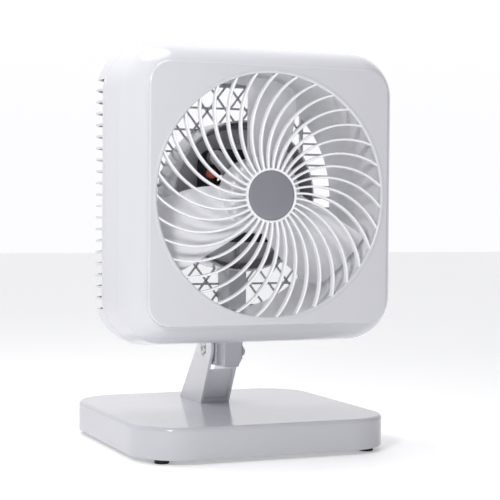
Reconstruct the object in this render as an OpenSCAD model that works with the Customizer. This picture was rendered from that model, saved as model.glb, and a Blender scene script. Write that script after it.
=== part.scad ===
/* [Base] */
// Width and depth of the square foot plate
base_w = 241; // [200:1:280]
// Corner radius of the foot plate
base_corner = 47; // [30:1:60]
// Height of the base cover without its feet
base_h = 27.8; // [20:0.1:40]
// Rounding of the top edge of the base cover
base_edge = 3.6; // [1:0.1:6]
// Height of the rubber feet below the skirt
foot_h = 4.5; // [3:0.1:8]
// Diameter of a rubber foot
foot_d = 13; // [10:0.5:20]

/* [Arm and pivot] */
// Width of the tilting arm across its cheeks
arm_w = 29.6; // [24:0.1:40]
// Thickness of each cheek
cheek = 3; // [2:0.1:5]
// Pivot axis behind the centre of the base
pivot_y = 22.6; // [10:0.1:40]
// Pivot axis above the surface the fan stands on
pivot_z = 85.1; // [70:0.1:110]
// Diameter of the pivot bolt
bolt_d = 5; // [4:0.1:8]

/* [Head] */
// Half width of the head behind the front rounding
head_half_w = 130; // [115:0.5:150]
// Half height of the head behind the front rounding
head_half_h = 131; // [115:0.5:150]
// Growth of the outline from the front rounding to the rear rounding
head_flare = 4.7; // [0:0.1:8]
// Depth from the front panel to the rear face
head_depth = 110; // [90:1:140]
// Height of the impeller axis above the surface
head_z = 230.3; // [200:0.1:260]
// Front panel plane, in front of the centre of the base
face_y = 106; // [80:0.5:120]
// Wall thickness of the mouldings
wall = 2.3; // [1.6:0.1:3]

/* [Front grille] */
// Half size of the square front panel
panel_half = 113.5; // [111:0.5:116]
// Radius of the air opening
opening_r = 108; // [104:0.5:109]
// Number of spiral ribs
rib_count = 35; // [20:1:40]
// Radius of the arc that each rib follows
rib_arc = 72; // [64:1:90]
// Width of a rib
rib_w = 1.9; // [1.2:0.1:3]
// Depth of a rib
rib_depth = 6; // [3:0.5:8]
// Outer radius of the ring at the middle of the grille
hub_ring_r = 24.2; // [20:0.1:28]

/* [Impeller and motor] */
// Radius of the impeller over its blade tips
impeller_r = 104; // [95:0.5:105]
// Number of blades
blade_count = 3; // [3:1:5]
// Radius of the impeller hub
hub_r = 34; // [30:0.5:40]
// Diameter of the motor shaft
shaft_d = 6; // [5:0.5:8]
// Width of the square stator stack
stack_w = 84; // [70:1:90]
// Thickness of the stator stack
stack_t = 20; // [15:1:22]
// Radius of the round motor plate
plate_r = 62; // [60:0.5:64]

/* [Hidden] */

$fn = 64;
fit = 0.05;                                  // radial clearance of a fit

// Base
top_z = foot_h + base_h;
base_wall = 2.4;
corner_at = base_w / 2 - base_corner;        // centre of each corner round
plate_z = foot_h + 0.8;                      // underside of the bottom plate
plate_t = 2.2;
foot_at = 98;
boss_at = 70;
gland_z = foot_h + 13;

// Arm profile in the Y-Z plane
arm_front = 29.2;                            // front of the arm at the base
arm_rear = 87.4;                             // rear of the arm at the base
arm_knee = 7.4;                              // front of the arm at the height of the switch box
knee_z = 71.4;
arm_round = 16.3;                            // top round of the cheeks
arm_round_y = 17.7;
arm_round_z = 88;
web_recess = 3;
web_t = 2.6;
web_top = 66;
gap_half = arm_w / 2 - cheek;                // half the gap between the cheeks
flange_t = 3;
bolt_r = bolt_d / 2;
recess_r = 7.2;
recess_t = 1.6;
washer_t = 0.7;
knuckle_half = gap_half - washer_t - 2 * fit;
knuckle_r = 14;

// Head, drawn facing the reader: x right, y up, z back from the panel plane
corner_x = head_half_w - 40.3;
corner_y = head_half_h - 40.3;
front_r = 40.3;                              // corner radius behind the front rounding
front_in = 33.5;                             // inset of the front rounding
front_deep = 39.7;                           // depth of the front rounding
side_end = 82;                               // where the rear rounding begins
rear_r = front_r + head_flare;
rear_in = 25;
rear_deep = head_depth - side_end;
part_line = 67;
shell_start = asin(15.5 / front_in);         // the rounding begins at the edge of the panel
panel_corner = 20;
panel_at = panel_half - panel_corner;
panel_t = 2.4;
panel_skirt = 4;                             // how far the edge of the panel reaches back
rib_end = 6.3;
rib_phase = 4.7;
rib_sweep = 79;
duct_wall = 2;
duct_front = 7.2;
duct_rear = 103.5;
duct_rear_r = 105.5;
screw_at = [104, 105];                       // housing screws
grille_screw_at = 95;
grille_pitch = 10.3;                         // pitch of the rear bars
bar_t = 2;
bar_rows = 20;
window_front = 70.5;                         // where the rear bars start on the sides
window_half = grille_pitch * bar_rows / 2;
strut_x = 76;
motor_ring_r = 67;
shroud_front = 62;                           // front edge of the shroud round the motor
lead_cover_w = 17;
lead_cover_front = 78.5;
lead_x = -3.9;                               // where the leads pass into the switch box
lattice_half = strut_x - 1;

// Motor, by depth behind the panel plane
shaft_r = shaft_d / 2;
shaft_front = 11;
shaft_rear = 97;
stack_front = 56;
stack_rear = stack_front + stack_t;
rotor_r = 18;
air_gap = 0.35;
bore_r = rotor_r + air_gap;
bracket_front = 48;
bracket_t = 3;
motor_plate_z = 82;
motor_plate_t = 2;
bearing_r = 6.5;
bearing_len = 8;
stack_screw_at = 34;
post_r = 52;                                 // screws of the motor plate
hub_front = 14;
hub_rear = 44;

// Switch box below the head
box_half = 8.5;
box_front = -17.9;
box_rear = -2.6;
box_bottom = pivot_z - knuckle_r;
rock_x = 6;
rock_z = 87;
pin_r = 1.2;

steel = "silver";
white = "white";

// ---- helpers -------------------------------------------------------------

// Head parts are drawn facing the reader and set in place here
module on_head() {
    translate([0, -face_y, head_z]) rotate([90, 0, 0]) mirror([0, 0, 1]) children();
}

module each_corner(x, y) {
    for (sx = [-1, 1], sy = [-1, 1]) translate([sx * x, sy * y, 0]) children();
}

module rounded_square(w, h, r) {
    square([w - 2 * r, h], center = true);
    square([w, h - 2 * r], center = true);
    each_corner(w / 2 - r, h / 2 - r) circle(r);
}

// Sweeps a profile of [distance outside the corner centres, height] round a rounded rectangle
module sweep(half_x, half_y, profile) {
    for (k = [0:3]) {
        sx = k == 0 || k == 3 ? 1 : -1;
        sy = k < 2 ? 1 : -1;
        translate([sx * half_x, sy * half_y, 0]) rotate([0, 0, 90 * k]) rotate_extrude(angle = 90)
            polygon(profile);
    }
    for (side = [0, 1]) {
        mirror([side, 0, 0]) translate([half_x, 0, 0]) rotate([90, 0, 0])
            linear_extrude(2 * half_y, center = true) polygon(profile);
        mirror([0, side, 0]) translate([0, half_y, 0]) rotate([90, 0, 90])
            linear_extrude(2 * half_x, center = true) polygon(profile);
    }
}

module tube(outer, inner, from, to) {
    translate([0, 0, from]) difference() {
        cylinder(r = outer, h = to - from);
        translate([0, 0, -1]) cylinder(r = inner, h = to - from + 2);
    }
}

module rod(r, from, to) {
    translate([0, 0, from]) cylinder(r = r, h = to - from);
}

// A screw along +z: its head ends at the origin and its shank runs up
module screw(shank, length, head, head_t) {
    translate([0, 0, -head_t]) difference() {
        cylinder(r = head, h = head_t);
        for (turn = [0, 90]) rotate([0, 0, turn]) translate([-head * 0.6, -0.4, -1])
            cube([head * 1.2, 0.8, 1.8]);
    }
    cylinder(r = shank, h = length - 2);
    translate([0, 0, length - 2]) cylinder(r1 = shank, r2 = shank * 0.3, h = 2);
}

// A round bar along X
module cross_bar(r, from, to) {
    translate([from, 0, 0]) rotate([0, 90, 0]) cylinder(r = r, h = to - from);
}

module at_pivot() {
    translate([0, pivot_y, pivot_z]) children();
}

// ---- base ----------------------------------------------------------------

base_profile = concat(
    [[base_corner - base_wall, 0], [base_corner, 0]],
    [for (a = [0:15:90]) [base_corner, base_h] - base_edge * [1 - cos(a), 1 - sin(a)]],
    [[0, base_h], [0, base_h - base_wall], [base_corner - base_wall, base_h - base_wall]]
);

module base_cover() {
    boss_top = top_z - base_wall;
    color(white) difference() {
        union() {
            translate([0, 0, foot_h]) sweep(corner_at, corner_at, base_profile);
            translate([-corner_at, -corner_at, boss_top]) cube([2 * corner_at, 2 * corner_at, base_wall]);
            each_corner(boss_at, boss_at) rod(4.5, plate_z + plate_t, boss_top + 0.5);
            for (x = [-1, 1]) translate([x * 24 - 0.8, -112, boss_top - 7]) cube([1.6, 224, 7.5]);
            for (y = [-1, 1]) translate([-112, y * 60 - 0.8, boss_top - 7]) cube([224, 1.6, 7.5]);
        }
        each_corner(boss_at, boss_at) rod(1.5 + fit, plate_z - 1, plate_z + 14);
        for (p = arm_screw_spots) translate([p[0], p[1], 0]) rod(2 + fit, boss_top - 9, top_z + 1);
        translate([0, arm_front + 34, boss_top - 8]) cylinder(r = 6, h = 12);
        translate([0, base_w / 2 + 2, gland_z]) rotate([90, 0, 0]) cylinder(r = 5 + fit, h = 6);
    }
}

module base_plate() {
    inset = base_wall + 0.3;
    color("gainsboro") difference() {
        translate([0, 0, plate_z]) linear_extrude(plate_t)
            rounded_square(base_w - 2 * inset, base_w - 2 * inset, base_corner - inset);
        each_corner(boss_at, boss_at) rod(1.5 + fit, 0, top_z);
        each_corner(boss_at, boss_at) rod(3.6, 0, plate_z + 1.2);
        each_corner(foot_at, foot_at) rod(3 + fit, 0, top_z);
        for (x = [-2:2]) translate([x * 14 - 2, -30, 0]) cube([4, 60, top_z]);
    }
}

module base_screws() {
    color(steel) each_corner(boss_at, boss_at) translate([0, 0, plate_z + 1.2]) screw(1.5, 12, 3.4, 1.1);
}

module rubber_feet() {
    color("black") each_corner(foot_at, foot_at) {
        rotate_extrude() polygon([
            [0, 0], [foot_d / 2 - 1, 0], [foot_d / 2, 1], [foot_d / 2, plate_z], [3, plate_z],
            [3, plate_z + plate_t], [3.8, plate_z + plate_t], [3.2, plate_z + plate_t + 2],
            [0, plate_z + plate_t + 2]
        ]);
    }
}

module cord_gland() {
    color("gainsboro") translate([0, base_w / 2, gland_z]) rotate([-90, 0, 0]) rotate_extrude()
        polygon([
            [3.4, -6], [7, -6], [7, -base_wall], [5, -base_wall], [5, -0.6], [4.4, 0], [3.4, 0]
        ]);
}

// ---- arm -----------------------------------------------------------------

arm_screw_spots = [for (x = [-1, 1], y = [0, 1]) [x * 6.5, arm_front + 12 + 36 * y]];

// Extrudes a Y-Z outline along X
module along_x(width) {
    rotate([90, 0, 90]) linear_extrude(width, center = true) children();
}

arm_lean = atan2(arm_front - arm_knee, knee_z - top_z);

module arm_outline() {
    polygon([
        [arm_front, top_z], [arm_rear, top_z],
        [arm_round_y + arm_round * cos(41), arm_round_z + arm_round * sin(41)],
        [arm_round_y, arm_round_z],
        [arm_round_y - arm_round * cos(arm_lean), arm_round_z - arm_round * sin(arm_lean)]
    ]);
    translate([arm_round_y, arm_round_z]) circle(arm_round);
}

module arm_channel() {
    polygon([
        [arm_front + web_recess + web_t, top_z + flange_t], [arm_rear + 20, top_z + flange_t],
        [arm_rear + 20, 120], [-30, 120], [-30, web_top], [5, web_top],
        [arm_front + web_recess + web_t - tan(arm_lean) * (web_top - top_z - flange_t), web_top]
    ]);
}

module arm_front_recess() {
    drop = top_z + 4;
    polygon([
        [-30, drop], [arm_front + web_recess - tan(arm_lean) * (drop - top_z), drop],
        [arm_front + web_recess - tan(arm_lean) * (140 - top_z), 140], [-30, 140]
    ]);
}

module stand_arm() {
    color(white) difference() {
        along_x(arm_w) arm_outline();
        along_x(2 * gap_half) arm_channel();
        along_x(2 * gap_half) arm_front_recess();
        at_pivot() cross_bar(bolt_r + fit, -30, 30);
        for (side = [-1, 1]) at_pivot() translate([side * (arm_w / 2 - recess_t / 2 + 1), 0, 0])
            rotate([0, 90, 0]) cylinder(r = recess_r, h = recess_t + 2, center = true);
        for (p = arm_screw_spots) translate([p[0], p[1], 0]) rod(2 + fit, top_z - 1, top_z + 9);
        translate([0, arm_front + 34, top_z - 1]) cylinder(r = 6, h = 12);
    }
}

module arm_screws() {
    color(steel) for (p = arm_screw_spots) translate([p[0], p[1], top_z - base_wall])
        screw(2, base_wall + flange_t + 2, 4, 2);
}

module pivot_bolt() {
    inner = arm_w / 2 - recess_t + 0.6;
    color(steel) at_pivot() {
        cross_bar(bolt_r, -inner, inner + 4.4);
        translate([-inner, 0, 0]) rotate([0, -90, 0]) rotate_extrude() polygon(concat(
            [[0, 0], [5.4, 0]], [for (a = [0:15:90]) [5.4 * cos(a), 0.4 + 2 * sin(a)]]
        ));
    }
}

module pivot_nut() {
    inner = arm_w / 2 - recess_t + 0.6;
    color(steel) at_pivot() translate([inner, 0, 0]) rotate([0, 90, 0]) difference() {
        cylinder(r = 4.9, h = 4, $fn = 6);
        translate([0, 0, -1]) cylinder(r = bolt_r + fit, h = 7, $fn = 64);
    }
}

module pivot_washers() {
    floor_x = arm_w / 2 - recess_t;
    color(steel) at_pivot() for (side = [-1, 1]) mirror([side < 0 ? 1 : 0, 0, 0]) translate([floor_x, 0, 0])
        rotate([0, 90, 0]) tube(6.4, bolt_r + fit, 0, 0.6);
}

module friction_discs() {
    color("tan") at_pivot() for (side = [-1, 1]) mirror([side < 0 ? 1 : 0, 0, 0])
        translate([gap_half - washer_t - fit / 2, 0, 0]) rotate([0, 90, 0])
            tube(11, bolt_r + fit, 0, washer_t);
}

// ---- head shells ---------------------------------------------------------

function front_arc(inset) = [for (k = [0:9]) let (a = shell_start + (90 - shell_start) * k / 9)
    [front_r - front_in + (front_in - inset) * sin(a), front_deep - (front_deep - inset) * cos(a)]];

function rear_arc(inset) = [for (k = [0:8]) let (a = 90 * k / 8)
    [rear_r - rear_in + (rear_in - inset) * cos(a), side_end + (rear_deep - inset) * sin(a)]];

function side_r(depth) = front_r + head_flare * (depth - front_deep) / (side_end - front_deep);

function backward(list) = [for (k = [len(list) - 1:-1:0]) list[k]];

shell_face = front_arc(0)[0][1];             // depth of the shell face at the edge of the panel

front_profile = concat(
    [[0, shell_face]], front_arc(0), [[side_r(part_line) , part_line - 0.3]],
    [[side_r(part_line) - wall, part_line - 0.3]], backward(front_arc(wall)),
    [[0, shell_face + wall]]
);

rear_profile = concat(
    [[0, head_depth], [0, head_depth - wall]], backward(rear_arc(wall)),
    [[side_r(part_line) - wall, part_line], [side_r(part_line), part_line]], rear_arc(0)
);

module shell_solid(from, to) {
    translate([0, 0, from]) linear_extrude(to - from) square([2 * corner_x, 2 * corner_y], center = true);
}

module front_shell() {
    face_to = shell_face + wall;
    color(white) on_head() difference() {
        union() {
            sweep(corner_x, corner_y, front_profile);
            shell_solid(shell_face, face_to);
            each_corner(screw_at[0], screw_at[1]) rod(4.8, face_to - 0.5, part_line - 0.3);
            tube(opening_r + duct_wall + 2.2, opening_r + duct_wall + 0.3, face_to - 0.5, face_to + 8);
        }
        rod(opening_r + 0.4, 0, face_to + 1);
        each_corner(screw_at[0], screw_at[1]) rod(2 + fit, 30, part_line + 1);
        each_corner(grille_screw_at, grille_screw_at) rod(1.6 + fit, 0, 20);
    }
}

module front_rib(turn) {
    rotate([0, 0, turn]) translate([hub_ring_r - 1.4, -rib_arc, 0]) rotate([0, 0, 90 - rib_sweep])
        rotate_extrude(angle = rib_sweep) translate([rib_arc, 0]) polygon([
            [-rib_w / 2, rib_end], [-rib_w / 2, 1.1], [-rib_w / 4, 0.4], [rib_w / 4, 0.4],
            [rib_w / 2, 1.1], [rib_w / 2, rib_end]
        ]);
}

panel_profile = [
    [0, 0], [panel_corner - 1.6, 0], [panel_corner - 0.5, 0.5], [panel_corner, 1.6],
    [panel_corner, panel_skirt], [panel_corner - 2, panel_skirt], [panel_corner - 2, panel_t], [0, panel_t]
];

module front_grille() {
    color(white) on_head() {
        difference() {
            union() {
                sweep(panel_at, panel_at, panel_profile);
                translate([-panel_at, -panel_at, 0]) cube([2 * panel_at, 2 * panel_at, panel_t]);
                each_corner(grille_screw_at, grille_screw_at) rod(3.6, 1, shell_face);
            }
            rod(opening_r, -1, panel_t + 1);
            each_corner(grille_screw_at, grille_screw_at) rod(1.6 + fit, 1.5, 10);
        }
        rotate_extrude($fn = 128) polygon([
            [opening_r - 0.4, 0.6], [opening_r + 0.3, -0.5], [opening_r + 1.2, -0.5], [opening_r + 1.6, 0.2],
            [opening_r + 1.6, 1], [opening_r + 0.1, 1.4], [opening_r + 0.1, shell_face + 0.6],
            [opening_r - 1.5, shell_face + 0.6], [opening_r - 1.5, 1.6]
        ]);
        intersection() {
            union() for (k = [0:rib_count - 1]) front_rib(rib_phase + 360 / rib_count * k);
            tube(opening_r - 0.5, hub_ring_r - 1.2, 0, 10);
        }
        tube(hub_ring_r, hub_ring_r - 2.3, 1.2, rib_end + 0.5);
        rod(hub_ring_r - 1, 3.6, 5.2);
    }
}

module grille_screws() {
    color(steel) on_head() each_corner(grille_screw_at, grille_screw_at)
        translate([0, 0, shell_face + wall]) mirror([0, 0, 1]) screw(1.6, 5, 3, 1.6);
}

module hub_badge() {
    disc_r = hub_ring_r - 2.4;
    color("darkgray") on_head() rotate_extrude() polygon([
        [0, 1.3], [disc_r - 1.2, 1.7], [disc_r, 2.4], [disc_r, 3.6], [0, 3.6]
    ]);
}

module air_duct() {
    front_r_in = opening_r;
    color(white) on_head() difference() {
        rotate_extrude($fn = 128) polygon([
            [front_r_in, duct_front], [front_r_in + duct_wall, duct_front],
            [front_r_in + duct_wall, 60], [duct_rear_r + duct_wall, duct_rear],
            [duct_rear_r, duct_rear], [front_r_in, 60]
        ]);
        translate([-4, -114, 99]) cube([8, 14, 7]);
    }
}

// One row of the rear grille, between two bars
module rear_row(k) {
    low = -window_half + k * grille_pitch;
    translate([-160, low + bar_t / 2, window_front]) cube([320, grille_pitch - bar_t, 80]);
}

// A slanted bar of the middle lattice
module slant_bar(x, lean) {
    translate([x, 0, head_depth - 3.2]) rotate([0, 0, lean]) translate([-0.9, -150, 0])
        cube([1.8, 300, 2.6]);
}

module lattice() {
    intersection() {
        union() for (k = [-7:7]) {
            slant_bar(k * 2 * grille_pitch, 38);
            slant_bar(k * 2 * grille_pitch, -38);
        }
        difference() {
            translate([-lattice_half, -window_half, 0]) cube([2 * lattice_half, 2 * window_half, 200]);
            rod(motor_ring_r, 0, 200);
        }
    }
}

// A channel over the leads, from the motor shroud down to the air duct
module lead_cover() {
    low = -duct_rear_r + 0.7;
    translate([0, low, lead_cover_front]) difference() {
        translate([-lead_cover_w / 2, 0, 0]) cube([lead_cover_w, -low - motor_ring_r - 1, 29]);
        translate([-lead_cover_w / 2 + 1.6, -1, 1.6]) cube([lead_cover_w - 3.2, 60, 30]);
    }
}

module rear_posts() {
    for (turn = [0:90:270]) rotate([0, 0, turn]) translate([post_r, 0, 0]) children();
}

module rear_cover() {
    color(white) on_head() difference() {
        union() {
            difference() {
                union() {
                    sweep(corner_x, corner_y, rear_profile);
                    shell_solid(head_depth - wall, head_depth);
                }
                for (k = [0:bar_rows - 1]) rear_row(k);
                for (k = [1:2:bar_rows - 1])
                    translate([-lattice_half, -window_half + k * grille_pitch - 4, 95])
                        cube([2 * lattice_half, 8, 30]);
            }
            lattice();
            for (x = [-strut_x, strut_x]) translate([x - 1.4, -window_half - 2, head_depth - 5])
                cube([2.8, 2 * window_half + 4, 4.6]);
            tube(motor_ring_r + 2, motor_ring_r, shroud_front, head_depth - 0.4);
            lead_cover();
            tube(motor_ring_r + 1, 24, head_depth - 2.4, head_depth - 0.4);
            rear_posts() rod(5, motor_plate_z + motor_plate_t, head_depth - 1);
            tube(duct_rear_r + 5, duct_rear_r + duct_wall + 0.4, 99, head_depth - 1);
            each_corner(screw_at[0], screw_at[1]) rod(6.2, part_line, head_depth - 1);
            for (x = [-6, 6]) translate([x, neck_screw_z - head_z, 0]) rod(3.8, 92, head_depth - 2.6);
        }
        for (turn = [15:30:345]) rotate([0, 0, turn]) translate([32, -1.6, 100]) cube([22, 3.2, 20]);
        rear_posts() rod(1.6 + fit, motor_plate_z - 1, 100);
        each_corner(screw_at[0], screw_at[1]) rod(2 + fit, 60, 120);
        each_corner(screw_at[0], screw_at[1]) rod(4.4, 98, 120);
        for (x = [-6, 6]) translate([x, neck_screw_z - head_z, 0]) rod(1.6 + fit, 90, 120);
        translate([lead_x, -140, 96]) rotate([-90, 0, 0]) cylinder(r = 3.2, h = 24);
        translate([-4, -114, 99]) cube([8, 9, 7]);
        translate([-4, -motor_ring_r - 3, lead_cover_front + 1]) cube([8, 5, 7]);
    }
}

module housing_screws() {
    color(steel) on_head() each_corner(screw_at[0], screw_at[1]) translate([0, 0, 98]) mirror([0, 0, 1])
        screw(2, 50, 4, 2.6);
}

// ---- neck and switch -----------------------------------------------------

module head_solid() {
    on_head() {
        sweep(corner_x, corner_y, rear_solid);
        shell_solid(part_line, head_depth);
    }
}

rear_solid = concat([[0, head_depth], [0, part_line], [side_r(part_line), part_line]], rear_arc(0));
horn_rear = 8.5;
horn_top = 119.5;
neck_screw_z = 113.8;

module neck_outline() {
    polygon([
        [box_rear, box_bottom], [pivot_y, box_bottom],
        [pivot_y, pivot_z + knuckle_r], [horn_rear, pivot_z + knuckle_r],
        [horn_rear, horn_top], [box_rear, horn_top]
    ]);
    translate([pivot_y, pivot_z]) circle(knuckle_r);
}

// Front outline of the switch box, with its slanted lower corner
module box_outline(inset) {
    polygon([
        [-box_half + inset, box_bottom + inset], [box_half - 3.5 - inset * 0.8, box_bottom + inset],
        [box_half - inset, 78.5], [box_half - inset, 108], [-box_half + inset, 108]
    ]);
}

// Extrudes an X-Z outline along Y
module along_y(from, to) {
    translate([0, to, 0]) rotate([90, 0, 0]) linear_extrude(to - from) children();
}

box_wall = 1.6;

module neck_block() {
    color(white) difference() {
        union() {
            along_x(2 * knuckle_half) neck_outline();
            along_y(box_front, box_rear + 1) box_outline(0);
        }
        along_y(box_front + box_wall, box_rear - box_wall) box_outline(box_wall);
        translate([4, box_front + 2.2, 79]) cube([10, 11, 15]);
        translate([-box_half - 1, box_front + 2, box_bottom + 2.4]) cube([1.6, 11.4, 19]);
        for (side = [-1, 1]) translate([side * (knuckle_half + 3 - 2.2), 2.4, box_bottom + 3.4])
            translate([-3, 0, 0]) cube([6, 5, 20]);
        at_pivot() cross_bar(bolt_r + fit, -20, 20);
        for (x = [-6, 6]) translate([x, horn_rear + 1, neck_screw_z]) rotate([90, 0, 0])
            cylinder(r = 1.6 + fit, h = 20);
        head_solid();
    }
}

module neck_screws() {
    color(steel) for (x = [-6, 6]) translate([x, horn_rear, neck_screw_z]) rotate([90, 0, 0])
        screw(1.6, 16, 3.2, 1.8);
}

module switch_body() {
    color("dimgray") difference() {
        union() {
            translate([-1.5, box_front + 2.3, 79.1]) cube([10, 10.8, 14.8]);
            translate([box_half, box_front + 1, 78]) cube([0.8, 13.2, 16.4]);
        }
        translate([0.6, box_front + 3.5, 79.9]) cube([12, 8.4, 13.4]);
        translate([8, box_front + 3.5, 79.2]) cube([4, 8.4, 14.1]);
        translate([rock_x, box_front + 1.7, rock_z]) rotate([-90, 0, 0])
            cylinder(r = pin_r + fit, h = 12);
    }
}

module switch_terminals() {
    color("gold") for (z = [82, 90]) translate([-6.3, box_front + 5.3, z - 0.4]) difference() {
        cube([4.8, 4.8, 0.8]);
        translate([1.6, 2.4, -1]) cylinder(r = 0.8, h = 3);
    }
}

module rocker() {
    color("white") along_y(box_front + 3.8, box_front + 11.6) polygon([
        [3.5, 82.6], [7.4, 81.2], [11.6, 81.1], [12.7, 81.7], [13.8, 85], [13.5, 86.1], [10, 91.9],
        [9, 92.4], [3.5, 91.4]
    ]);
    color("white") translate([rock_x, box_front + 2.6, rock_z]) rotate([-90, 0, 0])
        cylinder(r = pin_r, h = 10.2);
}

// ---- motor leads ---------------------------------------------------------

function unit(v) = v / norm(v);

function blend(p, k, t) = let (
        a = p[max(k - 1, 0)], b = p[k], c = p[k + 1], d = p[min(k + 2, len(p) - 1)]
    ) 0.5 * (2 * b + (c - a) * t + (2 * a - 5 * b + 4 * c - d) * t * t + (3 * b - a - 3 * c + d) * t * t * t);

function smooth(p, steps) = concat(
    [for (k = [0:len(p) - 2], s = [0:steps - 1]) blend(p, k, s / steps)], [p[len(p) - 1]]
);

// A tube along a route, as one closed skin
module cable(route, r, sides) {
    last = len(route) - 1;
    rings = [for (k = [0:last]) let (
            way = unit(route[min(k + 1, last)] - route[max(k - 1, 0)]),
            side = unit(cross(way, [1, 0.02, 0.03])),
            up = cross(side, way)
        ) each [for (s = [0:sides - 1]) let (a = 360 * s / sides) route[k] + r * (cos(a) * side + sin(a) * up)]];
    walls = [for (k = [0:last - 1], s = [0:sides - 1]) let (t = (s + 1) % sides)
        [k * sides + s, k * sides + t, (k + 1) * sides + t, (k + 1) * sides + s]];
    caps = [[for (s = [sides - 1:-1:0]) s], [for (s = [0:sides - 1]) last * sides + s]];
    polyhedron(rings, concat(walls, caps));
}

// The leads leave the bottom coil, pass below the motor and drop through the duct wall
lead_start = [
    [0, -31.4, 78.5], [0, -40, 78.5], [0, -54, 78.6], [0, -63, 79.4], [0, -72, 84], [0, -84, 93]
];
lead_drop = [
    [0, -98, 101.4], [0, -108, 102], [0, -118, 100], [-0.9, -122, 98.4], [-2.6, -126, 96.8],
    [-3.8, -130, 96], [lead_x, -133.5, 96]
];
lead_ends = [
    [
        [-4.8, -136.8, 98], [-4.4, -139.6, 100.1], [-4.2, -143.4, 100], [-4.2, -146, 97.4],
        [-4.2, -147.8, 97.2]
    ],
    [[-3, -136, 95.6], [-3.5, -138.2, 95.5], [-3.6, -139.8, 95.5]]
];

module motor_leads() {
    color("firebrick") on_head() for (k = [0, 1]) {
        shift = [k == 0 ? -1.1 : 1.1, 0, 0];
        shared = [for (p = concat(lead_start, lead_drop)) p + shift];
        cable(smooth(concat(shared, lead_ends[k]), 3), 0.9, 8);
    }
}

// ---- motor ---------------------------------------------------------------

module at_stack_corners() {
    each_corner(stack_screw_at, stack_screw_at) children();
}

module motor_plate() {
    color("dimgray") on_head() difference() {
        union() {
            rod(plate_r, motor_plate_z, motor_plate_z + motor_plate_t);
            tube(plate_r, plate_r - 1.6, motor_plate_z, motor_plate_z + 6);
            rod(9.5, 78.6, 86.6);
        }
        rod(bearing_r, 70, 90);
        rear_posts() rod(1.6 + fit, 70, 90);
        at_stack_corners() rod(2 + fit, 70, 90);
        for (turn = [45:90:315]) rotate([0, 0, turn]) translate([23, -4, 70]) cube([10, 8, 30]);
    }
}

module plate_screws() {
    color(steel) on_head() rear_posts() translate([0, 0, motor_plate_z]) screw(1.6, 14, 3.2, 1.8);
}

module front_bracket() {
    color("lightgray") on_head() difference() {
        union() {
            for (turn = [45, 135]) rotate([0, 0, turn]) translate([-48, -6, bracket_front])
                cube([96, 12, bracket_t]);
            rod(13, bracket_front - 0.4, bracket_front + bracket_t + 0.4);
            rod(9.5, bracket_front - 1.5, 54.5);
            at_stack_corners() rod(6.6, bracket_front - 0.4, stack_front);
        }
        rod(bearing_r, 40, 60);
        at_stack_corners() rod(2 + fit, 40, 60);
    }
}

module front_bearing() {
    color("peru") on_head() tube(bearing_r, shaft_r + fit, 46.5, 54.5);
}

module rear_bearing() {
    color("peru") on_head() tube(bearing_r, shaft_r + fit, 78.6, 86.6);
}

module stack_outline() {
    shoe_r = 24.5;
    difference() {
        rounded_square(stack_w, stack_w, 14);
        difference() {
            circle(33.5);
            for (turn = [0:90:270]) rotate(turn) translate([0, -6.5]) square([36, 13]);
            circle(shoe_r);
        }
        for (turn = [45:90:315]) rotate(turn) translate([16, -2.5]) square([12, 5]);
        for (turn = [0:90:270]) rotate(turn + 20) translate([16, -0.75]) square([6, 1.5]);
        circle(bore_r);
        at_stack_corners() circle(2 + fit);
    }
}

module stator_core() {
    color("dimgray") on_head() translate([0, 0, stack_front]) linear_extrude(stack_t) stack_outline();
}

// A square sleeve round the pole that points along +x
module pole_sleeve(from, to, inner, outer) {
    mid = stack_front + stack_t / 2;
    translate([from, 0, mid]) difference() {
        translate([0, -outer[0] / 2, -outer[1] / 2]) cube([to - from, outer[0], outer[1]]);
        translate([-1, -inner[0] / 2, -inner[1] / 2]) cube([to - from + 2, inner[0], inner[1]]);
    }
}

module coil_bobbins() {
    color("black") on_head() for (turn = [0:90:270]) rotate([0, 0, turn])
        pole_sleeve(25, 32.2, [13.1, stack_t + 0.1], [15.2, stack_t + 2.4]);
}

module stator_coils() {
    color("firebrick") on_head() for (turn = [0:90:270]) rotate([0, 0, turn])
        pole_sleeve(25.8, 31.4, [15.3, stack_t + 2.5], [20.4, stack_t + 9]);
}

module shading_rings() {
    reach = 1.3;
    ring_span = 20.4;
    color("chocolate") on_head() for (turn = [0:90:270]) rotate([0, 0, turn + 20]) {
        for (a = [0, ring_span]) rotate([0, 0, a]) translate([18.7, -0.6, stack_front - reach])
            cube([3, 1.2, stack_t + 2 * reach]);
        for (z = [stack_front - reach, stack_rear + 0.1]) translate([0, 0, z])
            rotate_extrude(angle = ring_span)
            translate([18.7, 0]) square([3, reach - 0.1]);
    }
}

module thermal_fuse() {
    color("firebrick") on_head() translate([-37, 19.5, 0]) rotate_extrude() polygon([
        [0, 51.2], [3.9, 51.2], [4.5, 51.8], [4.5, stack_front - fit], [0, stack_front - fit]
    ]);
}

module motor_screws() {
    color(steel) on_head() at_stack_corners() translate([0, 0, motor_plate_z + motor_plate_t])
        mirror([0, 0, 1]) screw(2, 37, 3.8, 2.4);
}

module motor_spacers() {
    color(steel) on_head() at_stack_corners() tube(4, 2 + fit, stack_rear, motor_plate_z);
}

module motor_shaft() {
    color(steel) on_head() {
        rod(shaft_r, shaft_front, shaft_rear - 1);
        translate([0, 0, shaft_rear - 1]) cylinder(r1 = shaft_r, r2 = shaft_r - 0.8, h = 1);
    }
}

module rotor_core() {
    color("darkgray") on_head() tube(rotor_r, shaft_r, stack_front, stack_rear);
}

module rotor_rings() {
    color("gainsboro") on_head() {
        tube(rotor_r - 0.6, 12, stack_front - 2.2, stack_front);
        tube(rotor_r - 0.6, 12, stack_rear, stack_rear + 2.2);
    }
}

module thrust_washers() {
    color("ivory") on_head() {
        tube(5.5, shaft_r + fit, 54.6, 55.9);
        tube(5.5, shaft_r + fit, 76.1, 78.4);
    }
}

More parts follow.
